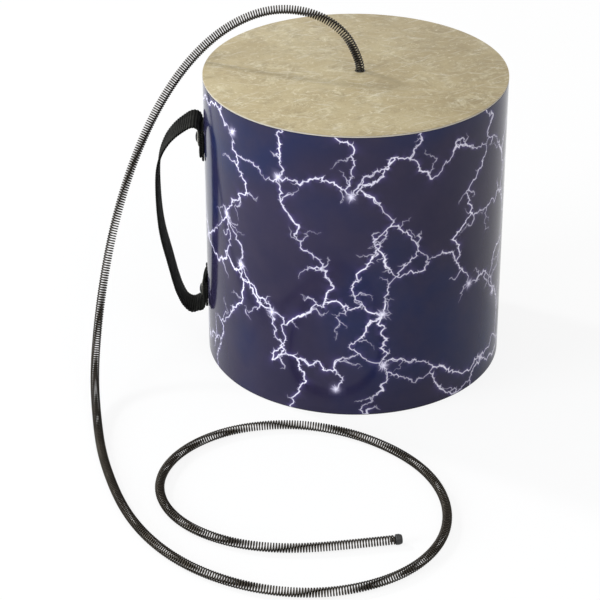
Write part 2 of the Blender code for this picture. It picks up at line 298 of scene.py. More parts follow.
def bumped(tree, height, strength, distance):
    return addNode(tree, "Bump",
                   {"Height": height, "Strength": strength, "Distance": distance}).outputs[0]


def startGroup(name, inputs, outputs):
    # inputs without a value are places
    group = bpy.data.node_groups.new(name, "ShaderNodeTree")
    for label, value in inputs.items():
        kind = "NodeSocketVector" if value is None else "NodeSocketFloat"
        socket = group.interface.new_socket(label, in_out="INPUT", socket_type=kind)
        if value is not None:
            socket.default_value = value
    for label in outputs:
        group.interface.new_socket(label, in_out="OUTPUT", socket_type="NodeSocketFloat")
    entry = group.nodes.new("NodeGroupInput").outputs
    leave = group.nodes.new("NodeGroupOutput").inputs
    return group, entry, leave


def useGroup(tree, group, **sockets):
    return addNode(tree, "Group", sockets, node_tree=group).outputs


def makeGrainGroup():
    # fine grain with a slower drift: a height for bumps and a mask for colour
    group, entry, leave = startGroup("fineGrain", {"Place": None, "Grain": 900.0, "Drift": 30.0},
                                     ("Height", "Mask"))
    grain = noisy(group, entry["Place"], entry["Grain"], 3.0, 0.6)
    drift = noisy(group, entry["Place"], entry["Drift"], 4.0, 0.6)
    group.links.new(calculated(group, "MULTIPLY_ADD", drift, 0.3, grain), leave["Height"])
    mask = calculated(group, "MULTIPLY_ADD", calculated(group, "SUBTRACT", grain, 0.5), 0.5, drift)
    group.links.new(mask, leave["Mask"])
    return group


def makeScratchGroup():
    # thin marks along two directions, from noise that is stretched along each
    group, entry, leave = startGroup(
        "scratches", {"Place": None, "Length": 12.0, "Fineness": 500.0}, ("Marks",))
    marks = []
    for turn in (12.0, -38.0):
        turned = addNode(group, "VectorRotate",
                         {"Vector": entry["Place"], "Angle": math.radians(turn)},
                         rotation_type="Z_AXIS").outputs[0]
        scale = addNode(group, "CombineXYZ", {"X": entry["Length"], "Y": entry["Fineness"],
                                              "Z": entry["Length"]}).outputs[0]
        long = addNode(group, "VectorMath", {0: turned, 1: scale}, operation="MULTIPLY").outputs[0]
        marks.append(remapped(group, noisy(group, long, 1.0, 2.0, 0.5), 0.60, 0.72))
    group.links.new(calculated(group, "MAXIMUM", *marks), leave["Marks"])
    return group


grainGroup = makeGrainGroup()
scratchGroup = makeScratchGroup()


def newMaterial(name):
    material = bpy.data.materials.new(name)
    material.use_nodes = True
    return material, material.node_tree


def feed(material, **sockets):
    # names are written together here and apart on the shader, as baseColor for Base Color
    shader = material.node_tree.nodes["Principled BSDF"]
    names = {socket.name.replace(" ", "").lower(): socket.name for socket in shader.inputs}
    for name, value in sockets.items():
        socket = shader.inputs[names[name.lower()]]
        if isinstance(value, bpy.types.NodeSocket):
            material.node_tree.links.new(value, socket)
        else:
            socket.default_value = value
    return material


def grainyMaterial(name, scales, shades, rough, bump=None, layers=None, **sockets):
    # two shades, a roughness and a bump that follow the shared grain; layers adds what is the
    # material's own, and gives the new colour and the height of the bump
    material, tree = newMaterial(name)
    place = objectPlace(tree)
    grain = useGroup(tree, grainGroup, Place=place, Grain=scales[0], Drift=scales[1])
    colour = mixedColour(tree, grain["Mask"], *shades) if shades else None
    height = grain["Height"]
    if layers:
        colour, height = layers(tree, place, grain, colour)
    if bump:
        sockets["normal"] = bumped(tree, height, *bump)
    rough = remapped(tree, grain["Mask"], 0.2, 0.8, *rough)
    return feed(material, baseColor=colour, roughness=rough, **sockets)


# Spring: one wire wound round the route, and the cap on its tip

springSettings = {
    "diameter": 0.0094,
    "wire": 0.0015,
    "curls": 735,
    "pointsPerCurl": 10,
    "wireSides": 6,
    "declaredPoints": 480,
    "flangeClear": 0.0003,  # from the washer down to the plug's flange
    "plugGrip": 0.0029,
    "capGrip": 0.0029,  # from the route's end to the cap's seat
    # the hanging curls lean away from the front: metres along the spring, and the lean
    "front": (0.0, -0.87, 0.49),
    "leans": ((0.09, 0.15, 0.20, 0.36, 0.44, 0.51), (0.0, 0.17, 0.28, 0.25, 0.17, 0.0)),
}

# The route, relative to the drum's axis, in millimetres: it arches to the left, comes down
# past the handle and curls up on the floor
springRoute = (
    (0.5, 2.0, 325.5), (-8.5, 3.0, 343.0), (-25.5, 5.5, 358.5), (-50.5, 8.5, 368.0),
    (-83.0, 13.0, 367.5), (-119.0, 17.5, 352.5), (-154.5, 22.5, 322.5), (-188.0, 25.5, 278.0),
    (-215.5, 23.5, 226.0), (-235.5, 13.5, 176.0), (-250.0, -6.0, 127.0), (-259.0, -37.0, 81.5),
    (-262.5, -77.5, 45.5), (-261.0, -122.5, 21.5), (-253.5, -177.0, 7.5), (-243.0, -232.0, 5.0),
    (-229.5, -280.5, 5.0), (-210.0, -332.0, 5.0), (-182.0, -379.0, 5.0), (-143.5, -418.0, 5.0),
    (-95.0, -444.5, 5.0), (-41.0, -454.5, 5.0), (12.5, -444.0, 5.0), (57.5, -413.5, 5.0),
    (84.5, -366.0, 5.0), (88.0, -310.0, 5.0), (70.5, -259.5, 5.0), (35.0, -218.0, 5.0),
    (-17.0, -187.5, 5.0), (-76.0, -179.5, 5.0), (-132.0, -198.5, 5.0), (-171.5, -241.5, 5.0),
    (-182.0, -290.5, 5.0), (-164.5, -338.5, 5.0), (-123.5, -373.0, 5.0), (-65.5, -387.5, 5.0),
    (-5.5, -381.5, 5.0), (38.0, -373.0, 5.0),
)


def reached(path):
    # how far along its path each point lies
    return np.concatenate(([0.0], np.cumsum(np.linalg.norm(np.diff(path, axis=0), axis=1))))


def smoothCurve(points, count):
    # evenly stepped places on one natural cubic curve through the points
    knots = np.array(points, dtype=float)
    last = len(knots) - 1
    reach = reached(knots)
    gap = np.diff(reach)
    system = np.eye(last + 1)
    target = np.zeros_like(knots)
    for i in range(1, last):
        system[i, i - 1:i + 2] = (gap[i - 1], 2 * (gap[i - 1] + gap[i]), gap[i])
        rise = (knots[i + 1] - knots[i]) / gap[i]
        fall = (knots[i] - knots[i - 1]) / gap[i - 1]
        target[i] = 6 * (rise - fall)
    bend = np.linalg.solve(system, target)

    def at(distance):
        i = np.clip(np.searchsorted(reach, distance, side="right") - 1, 0, last - 1)
        span = gap[i][:, None]
        place = 0.0
        for k, away in ((i, reach[i + 1] - distance), (i + 1, distance - reach[i])):
            away = away[:, None]
            place = place + bend[k] * away ** 3 / (6 * span)
            place = place + (knots[k] / span - bend[k] * span / 6) * away
        return place

    fine = at(np.linspace(0.0, reach[-1], 20 * count))
    along = reached(fine)
    even = np.linspace(0.0, along[-1], count)
    return np.column_stack([np.interp(even, along, fine[:, k]) for k in range(fine.shape[1])])


def unitRows(vectors):
    return vectors / np.linalg.norm(vectors, axis=1)[:, None]


def carriedFrame(path):
    # heading and two side directions along a path, carried on without twist
    heading = unitRows(np.gradient(path, axis=0))
    side = np.zeros_like(path)
    side[0] = np.cross(heading[0], (0.0, 1.0, 0.0))
    side[0] /= np.linalg.norm(side[0])
    for i in range(1, len(path)):
        carried = side[i - 1] - heading[i] * np.dot(side[i - 1], heading[i])
        side[i] = carried / np.linalg.norm(carried)
    return heading, side, np.cross(heading, side)


def tubeAround(name, centre, outward, radius, sides):
    # a tube round a line; outward is a direction beside the line that turns with it
    ahead = unitRows(np.gradient(centre, axis=0))
    first = unitRows(outward - ahead * np.sum(outward * ahead, axis=1)[:, None])
    second = np.cross(ahead, first)
    angles = np.arange(sides) * 2 * math.pi / sides
    rings = [centre + radius * (first * math.cos(a) + second * math.sin(a)) for a in angles]
    points = np.stack(rings, axis=1).reshape(-1, 3)
    piece = meshPiece(name, points, ringedFaces(len(centre), sides))
    pointValues(piece, crown=np.tile(np.cos(angles), len(centre)))
    return piece


def springWearAndHighlight(tree, place, grain, colour):
    # the curls' outer crowns are painted paler: partly wear, partly a painted highlight that leaves
    # the inner sides dark
    crown = calculated(tree, "MULTIPLY_ADD", grain["Mask"], 0.5, attributeValue(tree, "crown"))
    # painted highlight and wear: a paler brown on the outward faces of the wire
    wornAndLit = mixedColour(tree, remapped(tree, crown, 0.85, 1.35), colour, (0.085, 0.072, 0.055))
    return wornAndLit, grain["Height"]


def makeSpring(settings):
    flange = washerLow.z - settings["flangeClear"]
    lead = flange + settings["plugGrip"]
    holeX, holeY = holePlace.x - drumAxis.x, holePlace.y
    leadIn = ((holeX, holeY, lead), (holeX, holeY, lead + 0.5 * (headTop - flange)))
    route = tuple((x * millimetre, y * millimetre, z * millimetre) for x, y, z in springRoute)
    count = settings["curls"] * settings["pointsPerCurl"] + 1
    path = smoothCurve(leadIn + route, count) + np.array(drumAxis)
    heading, side, lift = carriedFrame(path)
    seat = path[-1] + heading[-1] * settings["capGrip"]

    # the first curls sit on the plug's stem and the last ones on the cap's
    step = np.linalg.norm(path[1] - path[0])
    extra = np.arange(1, int(settings["capGrip"] / step))[:, None] * step
    path = np.vstack((path[0] - heading[0] * extra[::-1], path, path[-1] + heading[-1] * extra))
    heading, side, lift = (np.pad(rows, ((len(extra), len(extra)), (0, 0)), mode="edge")
                           for rows in (heading, side, lift))
    turn = np.arange(len(path))[:, None] * 2 * math.pi / settings["pointsPerCurl"]
    outward = side * np.cos(turn) + lift * np.sin(turn)
    front = np.array(settings["front"])
    toward = unitRows(front - heading * (heading @ front)[:, None])
    lean = np.interp(np.arange(len(path)) * step, *settings["leans"])
    shift = lean * np.sum(outward * toward, axis=1)
    radius = (settings["diameter"] - settings["wire"]) / 2
    spring = tubeAround("springCoil", path + (outward - heading * shift[:, None]) * radius, outward,
                        settings["wire"] / 2, settings["wireSides"])
    spring.data.shade_smooth()
    # its layers paint the curls' outer crowns paler, as wear and a painted highlight
    steel = grainyMaterial("oiledSpringSteel", (1400.0, 45.0),
                           ((0.006, 0.005, 0.004), (0.022, 0.017, 0.012)), (0.50, 0.34),
                           (0.15, 0.0001), springWearAndHighlight, metallic=0.55, specularIorLevel=0.25)
    finished(spring, "springCoil", "spring", "spring_wire", steel, "spring")

    cap = makeTipCap(capSettings, seat, heading[-1])


capSettings = {"bandRadius": 0.0050, "endRadius": 0.00448, "stemRadius": 0.0020, "stem": 0.005,
               "sides": 48}


def makeTipCap(settings, seat, heading):
    # a rounded cylinder with a smaller end, and a stem that the last curls grip
    band, end, stem = (settings[name] for name in ("bandRadius", "endRadius", "stemRadius"))
    bottom = -settings["stem"]
    profile = [(stem - 0.0003, bottom), (stem, bottom + 0.0003), (stem, 0.0), (band - 0.0005, 0.0),
               (band - 0.00015, 0.0002), (band, 0.0006), (band, 0.0017), (band - 0.00008, 0.00185),
               (band, 0.0020), (band, 0.0036), (band - 0.00018, 0.0042), (end, 0.0046),
               (end, 0.0051), (end - 0.00022, 0.0057), (end - 0.0008, 0.0061),
               (end - 0.0014, 0.00622), (0.0015, 0.00622), (0.0009, 0.0060), (0.0004, 0.0059)]
    level = math.atan2(heading[1], heading[0])
    cap = placed(turnedPiece(profile, settings["sides"], closed=False), tuple(seat),
                 (0.0, math.pi / 2, level))
    rubber = grainyMaterial("tipRubber", (1800.0, 300.0),
                            ((0.010, 0.010, 0.010), (0.030, 0.029, 0.027)), (0.62, 0.42),
                            (0.25, 0.0001))
    return finished(smoothShaded(cap, 50), "tipCap", "spring", "tip_rubber", rubber,
                    "spring_tip_cap")


makeSpring(springSettings)


# Printed wrap: a web of pale veins is laid out flat in millimetres, along the drum's girth from
# the seam at the back and up its height, and then rolled round the shell

wrapSettings = {
    "seed": 61,
    "thickness": 0.0005,
    "gridStep": 3.2,
    "jitter": 0.38,
    "drift": 0.6,  # how much dearer and cheaper the slow field makes the ways
    "roughness": 2.3,
    # what a stretch that is already taken costs on a new way
    "reuse": {"link": 0.5, "second": 1.5, "edge": 0.6, "twig": 1.6},
    "seamClear": 3.0,
    "hubSpacing": 54.0,
    "hubBorder": (10.0, 20.0),  # beside the seam, and above and below
    "hubTries": 4000,
    "uprightChoice": 1.35,
    "linksPerHub": 3,
    "linkShare": 0.80,
    "doubledShare": 0.35,
    "edgeReach": 80.0,
    "edgeShare": 0.75,
    "edgeDrift": 26.0,
    "jag": 0.62,
    "braidShare": 0.75,
    "braidReach": (0.8, 1.7),
    "braidRun": (6, 22),  # how many places a strand runs beside
    "braidTurn": (4.0, 7.0),  # and how many lie between its crossings
    "twigs": 560,
    "twigReach": (5.0, 28.0),
    "twigGlow": (0.3, 0.8),
    "twigEnd": 0.1,
    "hairShare": 0.8,
    "hairReach": (1.6, 5.0),
    "hairBend": 0.32,
    "hairGlow": (0.62, 0.42, 0.08),
    "burstShare": 0.45,
    "burstTwigs": 9,
    "burstReach": (3.5, 9.0),
    "burstStep": 1.5,
    "burstGlow": (0.85, 0.12),
    "burstSize": 2.9,
    "burstRings": (1.2, 2.6, 4.2, 6.2),
    "rows": (0.6, 1.5, 3.6),
    "rowShare": 0.82,  # a row's point is dropped where another vein is nearer than this
    "backStep": 5.0,
    "backClear": 2.5,
}


def towards(turn):
    return np.array((math.cos(turn), math.sin(turn)))


def leftOf(ahead):
    # the direction beside each step
    turned = np.column_stack((-ahead[:, 1], ahead[:, 0]))
    return turned / (np.linalg.norm(ahead, axis=1)[:, None] + 1e-9)


class VeinWeb:
    # jittered places joined to their eight neighbours, each join with its own cost; the veins
    # are the cheapest ways between chosen places

    def __init__(self, settings, girth, low, high):
        self.settings, self.girth, self.low, self.high = settings, girth, low, high
        self.rng = np.random.default_rng(settings["seed"])
        step, clear, jitter = (settings[name] for name in ("gridStep", "seamClear", "jitter"))
        self.columns = int((girth - 2 * clear) / step)
        self.rows = int((high - low) / step)
        u = clear + (np.arange(self.columns) + 0.5) * step
        v = low + (np.arange(self.rows) + 0.5) * (high - low) / self.rows
        shape = (self.columns, self.rows)
        self.u = u[:, None] + self.rng.uniform(-jitter, jitter, shape) * step
        self.v = v[None, :] + self.rng.uniform(-jitter, jitter, shape) * step
        self.places = np.column_stack((self.u.ravel(), self.v.ravel()))
        self.costs, self.otherCosts = self.freshCosts(), self.freshCosts()
        self.used = {}  # keeps the order in which places are taken
        self.ways = []
        self.hubs = self.spreadHubs()

    def softField(self, cell):
        # a slow random field from a coarse grid of values, eased along each side in turn
        counts = (self.columns, self.rows)
        field = self.rng.normal(size=[int(count / cell) + 2 for count in counts])
        for count in counts:
            at = np.linspace(0, len(field) - 1.001, count)
            i = at.astype(int)
            share = (at - i)[:, None]
            share = share * share * (3 - 2 * share)
            field = (field[i] * (1 - share) + field[i + 1] * share).T
        return field

    def freshCosts(self):
        # each join costs its length times a slow and a quick random share
        drift = self.softField(8)
        costs = []
        for move in ((1, 0), (0, 1), (1, 1), (1, -1)):
            back = (-move[0], -move[1])
            nearU, nearV = (np.roll(part, back, (0, 1)) for part in (self.u, self.v))
            length = np.hypot(nearU - self.u, nearV - self.v)
            quick = self.rng.uniform(0.0, self.settings["roughness"], length.shape)
            ahead = length * np.exp(self.settings["drift"] * drift + quick)
            behind = np.roll(ahead, move, (0, 1))
            costs += [(*move, ahead.ravel().tolist()), (*back, behind.ravel().tolist())]
        return costs

    def spreadHubs(self):
        beside, above = self.settings["hubBorder"]
        chosen = []
        for _ in range(self.settings["hubTries"]):
            place = (self.rng.uniform(beside, self.girth - beside),
                     self.rng.uniform(self.low + above, self.high - above))
            if all(math.hypot(place[0] - c[0], place[1] - c[1]) > self.settings["hubSpacing"]
                   for c in chosen):
                chosen.append(place)
        return np.array(chosen)

    def holds(self, place, sideClear, endClear):
        return (sideClear < place[0] < self.girth - sideClear
                and self.low + endClear < place[1] < self.high - endClear)

    def nearest(self, place):
        return int(np.argmin(np.sum((self.places - place) ** 2, axis=1)))

    def cheapestWay(self, start, end, costs, kind):
        reuse = self.settings["reuse"][kind]
        best = {start: 0.0}
        previous = {}
        waiting = [(0.0, start)]
        done = set()
        while waiting:
            spent, node = heappop(waiting)
            if node in done:
                continue
            if node == end:
                break
            done.add(node)
            column, row = divmod(node, self.rows)
            for stepU, stepV, cost in costs:
                c, r = column + stepU, row + stepV
                if not (0 <= c < self.columns and 0 <= r < self.rows):
                    continue
                other = c * self.rows + r
                share = reuse if other in self.used and node in self.used else 1.0
                total = spent + cost[node] * share
                if total < best.get(other, 1e9):
                    best[other] = total
                    previous[other] = node
                    heappush(waiting, (total, other))
        way = [end]
        while way[-1] != start:
            way.append(previous[way[-1]])
        return way[::-1]

    def takeWay(self, start, end, costs, kind):
        way = self.cheapestWay(start, end, costs, kind)
        self.ways.append(way)
        self.used.update(dict.fromkeys(way, True))
        return way

    def joinHubs(self):
        # each hub to its nearest ones, now and then by a second way
        settings, hubs, joined = self.settings, self.hubs, set()
        for i, hub in enumerate(hubs):
            apart = np.hypot((hubs[:, 0] - hub[0]) * settings["uprightChoice"], hubs[:, 1] - hub[1])
            for j in np.argsort(apart)[1:settings["linksPerHub"] + 1]:
                pair = (min(i, int(j)), max(i, int(j)))
                if pair in joined or self.rng.random() > settings["linkShare"]:
                    continue
                joined.add(pair)
                start, end = (self.nearest(hubs[k]) for k in pair)
                self.takeWay(start, end, self.costs, "link")
                if self.rng.random() < settings["doubledShare"]:
                    self.takeWay(start, end, self.otherCosts, "second")

    def reachEdges(self):
        # ways from the outer hubs to the top and bottom; gives the places where they end
        settings, ends = self.settings, []
        drift = settings["edgeDrift"]
        for hub in self.hubs:
            for edge in (self.low, self.high):
                near = abs(hub[1] - edge) < settings["edgeReach"]
                if near and self.rng.random() < settings["edgeShare"]:
                    aim = (hub[0] + self.rng.uniform(-drift, drift), edge)
                    way = self.takeWay(self.nearest(hub), self.nearest(aim), self.costs, "edge")
                    ends.append((self.places[way[-1]], edge))
        return ends

    def freshRuns(self):
        # the ways without the stretches that an earlier one has
        runs, seen = [], set()
        for way in self.ways:
            runs.append([way[0]])
            for node, after in zip(way, way[1:]):
                join = (min(node, after), max(node, after))
                if join in seen:
                    runs.append([after])
                else:
                    seen.add(join)
                    runs[-1].append(after)
        return [run for run in runs if len(run) > 1]

    def twigLines(self):
        # short ways that leave the web and fade
        settings, rng, lines = self.settings, self.rng, []
        trunk = list(self.used)
        for _ in range(settings["twigs"]):
            start = trunk[rng.integers(len(trunk))]
            reach = rng.uniform(*settings["twigReach"])
            aim = self.places[start] + reach * towards(rng.uniform(0, 2 * math.pi))
            if not self.holds(aim, settings["seamClear"], 3):
                continue
            way = self.cheapestWay(start, self.nearest(aim), self.otherCosts, "twig")
            if any(node in self.used for node in way[1:]):
                continue
            glow = np.linspace(rng.uniform(*settings["twigGlow"]), settings["twigEnd"], len(way))
            lines.append((self.places[way], glow))
            self.used.update(dict.fromkeys(way, True))
            trunk.extend(way[2:-2:2])
        return lines

    def jagged(self, places, glow):
        # a place between each two, moved sideways, so that the line turns every few millimetres
        ahead = np.diff(places, axis=0)
        length = np.linalg.norm(ahead, axis=1) + 1e-9
        shift = (self.rng.uniform(-1.0, 1.0, len(length)) * self.settings["jag"]
                 * np.minimum(1.0, length / 3.0) * 1.6)
        mixed = np.empty((2 * len(places) - 1, 2))
        mixed[::2] = places
        mixed[1::2] = (places[:-1] + places[1:]) / 2 + leftOf(ahead) * shift[:, None]
        shine = np.empty(len(mixed))
        shine[::2] = glow
        shine[1::2] = (glow[:-1] + glow[1:]) / 2
        return mixed, shine

    def braided(self, places, glow):
        # a second strand that leaves the line and meets it again
        rng = self.rng
        start = int(rng.integers(0, max(1, len(places) // 2)))
        stop = min(len(places), start + int(rng.integers(*self.settings["braidRun"])))
        if stop - start < 5:
            return []
        part = places[start:stop]
        turns = max(1, round(len(part) / rng.uniform(*self.settings["braidTurn"])))
        swing = np.sin(np.linspace(0, turns * math.pi, len(part)))
        swing = swing * rng.uniform(*self.settings["braidReach"])
        swing = swing * rng.uniform(0.75, 1.25, len(swing))
        swing[0] = swing[-1] = 0.0
        strand = part + leftOf(np.gradient(part, axis=0)) * swing[:, None]
        return [(strand, glow[start:stop] * rng.uniform(0.6, 0.95))]

    def spurLines(self, lines):
        # short spurs point outwards from the corners
        settings, rng, spurs = self.settings, self.rng, []
        for places, glow in lines:
            for k in range(1, len(places) - 1):
                if rng.random() > settings["hairShare"]:
                    continue
                before, after = places[k] - places[k - 1], places[k + 1] - places[k]
                bend = (before / (np.linalg.norm(before) + 1e-9)
                        - after / (np.linalg.norm(after) + 1e-9))
                if np.linalg.norm(bend) < settings["hairBend"]:
                    continue
                turn = math.atan2(bend[1], bend[0]) + rng.uniform(-0.5, 0.5)
                reach = rng.uniform(*settings["hairReach"]) * (0.35 + 0.65 * glow[k])
                reach *= rng.uniform(0.4, 1.0)
                middle = places[k] + 0.45 * reach * towards(turn)
                tip = middle + 0.55 * reach * towards(turn + rng.uniform(-1.0, 1.0))
                if self.holds(tip, 2, 1):
                    spurs.append((np.array((places[k], middle, tip)),
                                  glow[k] * np.array(settings["hairGlow"])))
        return spurs

    def burstRays(self, bursts):
        settings, rng, rays = self.settings, self.rng, []
        for burst in bursts:
            for k in range(settings["burstTwigs"]):
                turn = (k + rng.uniform(0, 0.8)) * 2 * math.pi / settings["burstTwigs"]
                reach = rng.uniform(*settings["burstReach"])
                steps = np.arange(0, reach, settings["burstStep"])[:, None]
                ray = burst + steps * towards(turn)
                if self.holds(ray[-1], -math.inf, 2):
                    ray = ray + rng.uniform(-0.45, 0.45, ray.shape) * (steps > 0)
                    rays.append((ray, np.linspace(*settings["burstGlow"], len(ray))))
        return rays

    def grown(self):
        # gives lines of (places, glow at each place) and the bright bursts
        rng, settings = self.rng, self.settings
        self.joinHubs()
        ends = self.reachEdges()
        shine = np.clip(0.70 + 0.24 * self.softField(6).ravel(), 0.30, 1.0)
        lines = [(self.places[run], shine[run]) for run in self.freshRuns()]
        lines += [(np.array((place, (place[0] + rng.uniform(-1.5, 1.5), edge))),
                   np.array((0.8, 0.8))) for place, edge in ends]
        lines += self.twigLines()
        lines = [self.jagged(*line) for line in lines]
        strands = []
        for line in lines:
            if len(line[0]) > 8 and rng.random() < settings["braidShare"]:
                strands += self.braided(*line)
        spurs = self.spurLines(lines)
        bursts = [hub for hub in self.hubs if rng.random() < settings["burstShare"]]
        bursts = [self.places[self.nearest(hub)] for hub in bursts]
        return lines + strands + spurs + self.burstRays(bursts), bursts


def denseAlong(places, glow, step):
    along = reached(places)
    count = max(2, int(along[-1] / step) + 1)
    at = np.unique(np.concatenate((along, np.linspace(0, along[-1], count))))
    return np.column_stack([np.interp(at, along, row) for row in (*places.T, glow)])


def flatPrint(settings, web, lines, bursts, tree):
    # the veins are edges of the mesh, and rows of points beside them carry the distance
    points, edges = [], []
    for places, glow in lines:
        edges += [(len(points) + k, len(points) + k + 1) for k in range(len(places) - 1)]
        points += list(places)
    for places, _ in lines:
        beside = leftOf(np.gradient(places, axis=0))
        for offset in settings["rows"]:
            for side in (-offset, offset):
                points += [place for place in places + side * beside if web.holds(place, 0.6, 0.4)
                           and tree.find((*place, 0.0))[2] > settings["rowShare"] * offset]
    for burst in bursts:
        for reach in settings["burstRings"]:
            ring = [burst + reach * towards((k + reach) * math.pi / 6) for k in range(12)]
            points += [place for place in ring if web.holds(place, -math.inf, 0.5)]

    # plain places between the veins, and matching places along the seam and the borders
    around = 2 * int(round(web.girth / settings["backStep"] / 2))
    upward = int(round((web.high - web.low) / settings["backStep"]))
    for i, u in enumerate(np.linspace(0, web.girth, around + 1)):
        for j, v in enumerate(np.linspace(web.low, web.high, upward + 1)):
            border = i in (0, around) or j in (0, upward)
            if border or tree.find((u, v, 0.0))[2] > settings["backClear"]:
                points.append((u, v))
    flat = delaunay_2d_cdt([Vector(point) for point in points], edges, [], 0, 0.02)
    return np.array([tuple(point) for point in flat[0]]), flat[2]


def makeWrap(settings):
    radius = drumRadius / millimetre
    low, high = wrapLow.z / millimetre, wrapHigh.z / millimetre
    web = VeinWeb(settings, 2 * math.pi * radius, low, high)
    lines, bursts = web.grown()
    samples = np.vstack([denseAlong(places, glow, 0.4) for places, glow in lines])
    tree = KDTree(len(samples))
    for i, (u, v, _) in enumerate(samples):
        tree.insert((u, v, 0.0), i)
    tree.balance()
    places, faces = flatPrint(settings, web, lines, bursts, tree)
    print("Wrap", len(lines), "veins", len(faces), "faces")

    found = [tree.find((u, v, 0.0)) for u, v in places]
    burst = np.zeros(len(places))
    for place in bursts:
        apart = np.linalg.norm(places - place, axis=1)
        burst = np.maximum(burst, np.exp(-(apart / settings["burstSize"]) ** 1.4))

    # rolled round the shell and the seam welded
    turn = math.pi / 2 + places[:, 0] / radius
    solid = [(drumAxis.x + drumRadius * math.cos(a), drumRadius * math.sin(a), v * millimetre)
             for a, v in zip(turn, places[:, 1])]
    twin = {round(places[i, 1], 1): int(i) for i in np.flatnonzero(places[:, 0] < 0.01)}
    weld = {int(i): twin[round(places[i, 1], 1)]
            for i in np.flatnonzero(places[:, 0] > web.girth - 0.01)}
    faces = [tuple(weld.get(k, k) for k in face) for face in faces]
    outerFaces = len(faces)

    # a thin wall closed behind it
    share = (drumRadius - settings["thickness"]) / drumRadius
    rings = []
    for level, way in ((low, -1), (high, 1)):
        rim = [int(i) for i in np.flatnonzero(np.abs(places[:, 1] - level) < 0.01)
               if int(i) not in weld]
        rim.sort(key=lambda i: places[i, 0])
        behind = [len(solid) + k for k in range(len(rim))]
        for x, y, z in [solid[i] for i in rim]:
            solid.append((drumAxis.x + (x - drumAxis.x) * share, y * share, z))
        for k in range(len(rim)):
            n = (k + 1) % len(rim)
            faces.append((rim[k], rim[n], behind[n], behind[k])[::way])
        rings.append(([places[i, 0] for i in rim] + [web.girth], behind))
    faces += innerStrips(*rings)

    wrap = meshPiece("shellWrapPrint", solid, faces)
    spare = len(solid) - len(places)
    pointValues(wrap, veinGap=[gap for _, _, gap in found] + [9.0] * spare,
                veinGlow=[samples[k, 2] for _, k, _ in found] + [0.0] * spare,
                veinBurst=list(burst) + [0.0] * spare)
    rolledNormals(wrap, outerFaces)
    return wrap


def innerStrips(lowRing, highRing):
    # joins two rings with different steps by going round both at once
    (lowPlace, lowBehind), (highPlace, highBehind) = lowRing, highRing
    faces = []
    a = b = 0
    while a < len(lowBehind) or b < len(highBehind):
        face = (lowBehind[a % len(lowBehind)], highBehind[b % len(highBehind)])
        if b >= len(highBehind) or (a < len(lowBehind) and lowPlace[a + 1] <= highPlace[b + 1]):
            a += 1
            faces.append((*face, lowBehind[a % len(lowBehind)]))
        else:
            b += 1
            faces.append((*face, highBehind[b % len(highBehind)]))
    return faces


def rolledNormals(piece, outerFaces):
    # the print is shaded as a true round, and the rims and the inner wall as they are
    mesh = piece.data
    mesh.shade_smooth()
    normals = np.empty((len(mesh.loops), 3))
    for polygon in mesh.polygons:
        for k in polygon.loop_indices:
            place = mesh.vertices[mesh.loops[k].vertex_index].co
            outer = polygon.index < outerFaces
            normals[k] = (place.x - drumAxis.x, place.y, 0.0) if outer else polygon.normal
    mesh.normals_split_custom_set([tuple(normal) for normal in unitRows(normals)])


def makeVeinGroup():
    # distance to the nearest vein and its glow, as masks for the white core and the lilac halo
    group, entry, leave = startGroup("veinMasks", {"Gap": 0.0, "Glow": 0.0, "Burst": 0.0},
                                     ("Core", "Halo", "Haze"))
    gap, glow, burst = (entry[name] for name in ("Gap", "Glow", "Burst"))
    inside = calculated(group, "DIVIDE", gap, calculated(group, "MULTIPLY_ADD", glow, 0.86, 0.16))
    line = calculated(group, "SUBTRACT", 1.0, remapped(group, inside, 0.25, 1.0, smooth=True))
    lit = calculated(group, "MULTIPLY", line, calculated(group, "POWER", glow, 0.7))
    group.links.new(calculated(group, "MAXIMUM", lit, calculated(group, "POWER", burst, 1.3)),
                    leave["Core"])
    for label, reach, strength in (("Halo", 1.1, 1.0), ("Haze", 5.0, 0.9)):
        fall = calculated(group, "EXPONENT", calculated(group, "DIVIDE", gap, -reach))
        cover = calculated(group, "MULTIPLY", fall, calculated(group, "MULTIPLY", glow, strength))
        group.links.new(calculated(group, "MULTIPLY_ADD", burst, 0.8, cover, clamped=True),
                        leave[label])
    return group


def wrapPrint(tree, place, grain, colour):
    # dark violet clouds with blue patches, then each vein's haze, halo and core
    slow = noisy(tree, place, 9.0, 3.0, 0.55, 0.4)
    cloud = noisy(tree, place, 26.0, 4.0, 0.6)
    blue = remapped(tree, noisy(tree, place, 7.0, 2.0, 0.5), 0.46, 0.66, smooth=True)
    masks = useGroup(tree, makeVeinGroup(), **{label: attributeValue(tree, "vein" + label)
                                               for label in ("Gap", "Glow", "Burst")})
    colour = layered(tree, mixedColour(tree, slow, (0.014, 0.012, 0.034), (0.026, 0.022, 0.056)),
                     (blue, 0.85, (0.008, 0.015, 0.062)),
                     (remapped(tree, cloud, 0.40, 0.72), 0.5, (0.034, 0.026, 0.052)),
                     (masks["Haze"], 0.38, (0.070, 0.052, 0.19)),
                     (masks["Halo"], 0.62, (0.26, 0.20, 0.48)),
                     (masks["Core"], 1.0, (0.86, 0.84, 0.95)))
    return colour, grain["Height"]


print("Printed wrap")
laminate = grainyMaterial("printedLaminate", (700.0, 22.0), None, (0.09, 0.17), (0.04, 0.0002),
                          wrapPrint, ior=1.28)
finished(makeWrap(wrapSettings), "shellWrapPrint", "drum", "wrap", laminate, "shell_wrap")


# Shell, pale hoop and head

shellSettings = {"sides": 192, "wall": 0.006, "bottomRound": 0.0006, "topRound": 0.0002}
headSettings = {"sides": 192, "centre": 0.004, "edgeRound": 0.00018, "holeRadius": 0.0053,
                "hoopWidth": 0.012}


